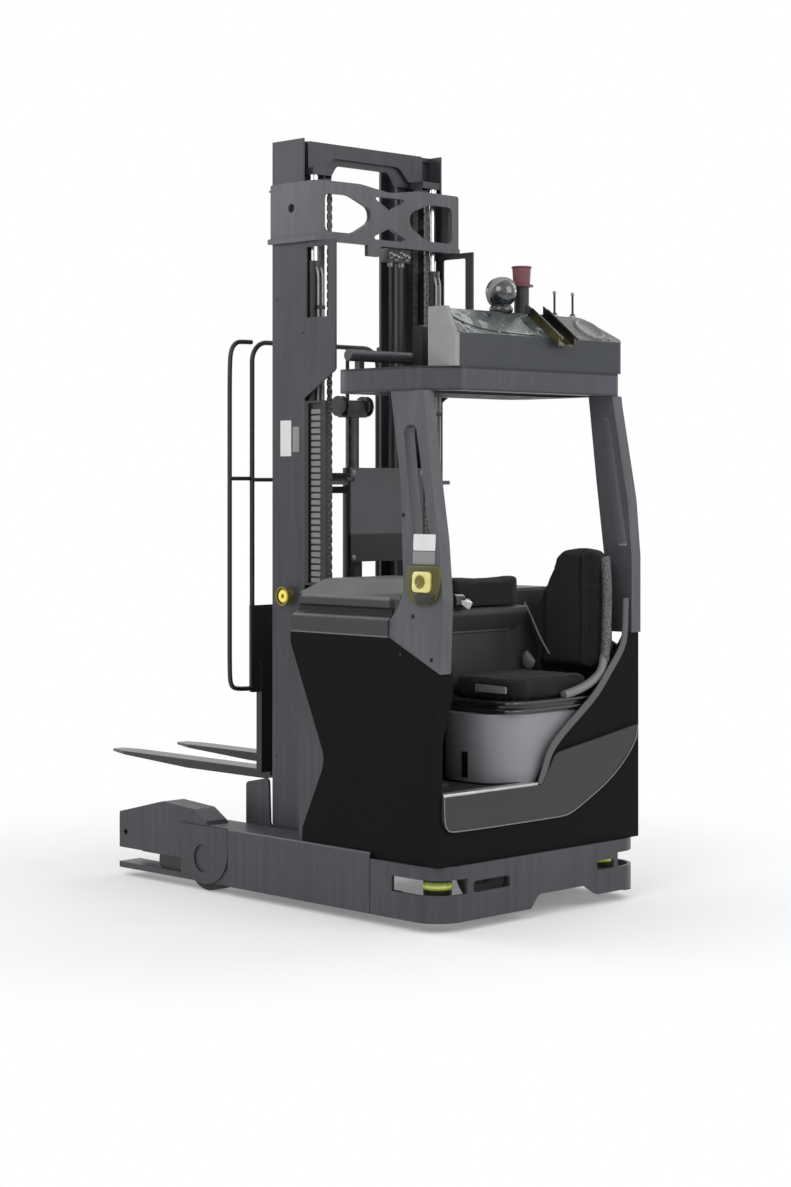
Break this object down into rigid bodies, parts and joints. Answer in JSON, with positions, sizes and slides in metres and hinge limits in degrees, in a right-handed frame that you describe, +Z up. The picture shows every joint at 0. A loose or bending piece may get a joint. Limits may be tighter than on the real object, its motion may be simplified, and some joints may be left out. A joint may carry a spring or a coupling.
{
  "type": "reach truck",
  "caption": "ride-on reach truck with straddle legs, a three-stage mast that slides forward, a sideways seat in the cab and two forks",
  "frame": {"origin": "centre of the bounding box on the floor", "axes": "+Z up, forks along -X, driver looks along -Y"},
  "size_m": [2.62, 1.27, 3.29],
  "materials": {
    "frame_paint": "satin",
    "roof_paint": "satin",
    "black_panel": "fine grained",
    "gray_trim": "satin",
    "seat_cloth": "woven",
    "wheel_tread": "smooth",
    "cast_metal": "painted",
    "chrome_rod": "polished",
    "dome_glass": "gloss",
    "beacon_red": "gloss",
    "lamp_amber": "gloss",
    "chain_grey": "satin",
    "scanner_yellow": "gloss",
    "fork_black": "satin"
  },
  "bodies": {
    "chassis": {"chassis_base": "frame_paint", "reach_cylinders": "fork_black", "legs": "frame_paint", "leg_tips": "frame_paint", "wheel_covers": "frame_paint", "scanners": "scanner_yellow", "battery": "frame_paint", "side_panels": "black_panel", "battery_lid": "black_panel", "rear_panel": "black_panel", "sill_panel": "frame_paint", "cab_tub": "black_panel", "arm_pad": "seat_cloth", "pedestal": "gray_trim", "seat_frame": "black_panel", "seat_cushion": "seat_cloth", "seat_back": "seat_cloth", "steer_pod": "black_panel", "pillars": "roof_paint", "roof_frame": "roof_paint", "roof_tube": "roof_paint", "roof_box": "roof_paint", "dome_camera": "dome_glass", "roof_posts": "frame_paint", "beacon": "beacon_red", "slope_rail": "frame_paint"},
    "steering_wheel": {"steering_wheel": "black_panel"},
    "drive_turntable": {"drive_unit": "frame_paint"},
    "drive_wheel": {"drive_tyre": "wheel_tread", "drive_hub": "cast_metal"},
    "load_wheel_left": {"load_tyre_left": "wheel_tread", "load_hub_left": "cast_metal"},
    "load_wheel_right": {"load_tyre_right": "wheel_tread", "load_hub_right": "cast_metal"},
    "reach": {"reach_carriage": "frame_paint", "mast_outer": "frame_paint", "mast_plates": "frame_paint", "mast_wings": "frame_paint", "mast_caps": "frame_paint", "mast_brace": "frame_paint", "mast_ties": "frame_paint", "lift_cylinders": "fork_black", "chain_trough": "fork_black", "energy_chain": "chain_grey", "mast_lamp": "lamp_amber"},
    "middle": {"mast_middle": "frame_paint", "middle_bars": "frame_paint", "lift_rods": "chrome_rod"},
    "inner": {"mast_inner": "frame_paint", "inner_bars": "frame_paint", "free_cylinder": "fork_black"},
    "free_lift": {"free_head": "fork_black"},
    "carriage": {"fork_carriage": "fork_black"},
    "shifter": {"shift_frame": "fork_black"},
    "fork_board": {"tilt_frame": "fork_black", "forks": "fork_black", "backrest": "fork_black"}
  },
  "joints": [
    {"name": "mast_reach", "type": "slide", "parent": "chassis", "child": "reach", "axis": [-1, 0, 0], "range_m": [0, 0.45]},
    {"name": "middle_lift", "type": "slide", "parent": "reach", "child": "middle", "axis": [0, 0, 1], "range_m": [0, 2.3]},
    {"name": "inner_lift", "type": "slide", "parent": "middle", "child": "inner", "axis": [0, 0, 1], "range_m": [0, 2.3]},
    {"name": "carriage_lift", "type": "slide", "parent": "inner", "child": "carriage", "axis": [0, 0, 1], "range_m": [-0.4, 2.1]},
    {"name": "free_lift_rod", "type": "slide", "parent": "inner", "child": "free_lift", "axis": [0, 0, 1], "range_m": [-0.2, 1.05]},
    {"name": "fork_side_shift", "type": "slide", "parent": "carriage", "child": "shifter", "axis": [0, 1, 0], "range_m": [-0.075, 0.075]},
    {"name": "fork_tilt", "type": "hinge", "parent": "shifter", "child": "fork_board", "pos_m": [-0.02, 0, 0.53], "axis": [0, 1, 0], "range_deg": [-4, 2]},
    {"name": "steering", "type": "hinge", "parent": "chassis", "child": "steering_wheel", "pos_m": [1.105, -0.465, 1.05], "axis": [0, 0, 1], "continuous": true},
    {"name": "drive_steer", "type": "hinge", "parent": "chassis", "child": "drive_turntable", "pos_m": [1.01, 0, 0.37], "axis": [0, 0, 1], "range_deg": [-90, 90]},
    {"name": "drive_roll", "type": "hinge", "parent": "drive_turntable", "child": "drive_wheel", "pos_m": [1.01, 0, 0.17], "axis": [0, 1, 0], "continuous": true},
    {"name": "load_roll_left", "type": "hinge", "parent": "chassis", "child": "load_wheel_left", "pos_m": [-0.14, -0.5615, 0.143], "axis": [0, 1, 0], "continuous": true},
    {"name": "load_roll_right", "type": "hinge", "parent": "chassis", "child": "load_wheel_right", "pos_m": [-0.14, 0.5615, 0.143], "axis": [0, 1, 0], "continuous": true}
  ],
  "couplings": [
    {"joint": "inner_lift", "follows": "middle_lift", "ratio": 1},
    {"joint": "free_lift_rod", "follows": "carriage_lift", "ratio": 0.5}
  ]
}
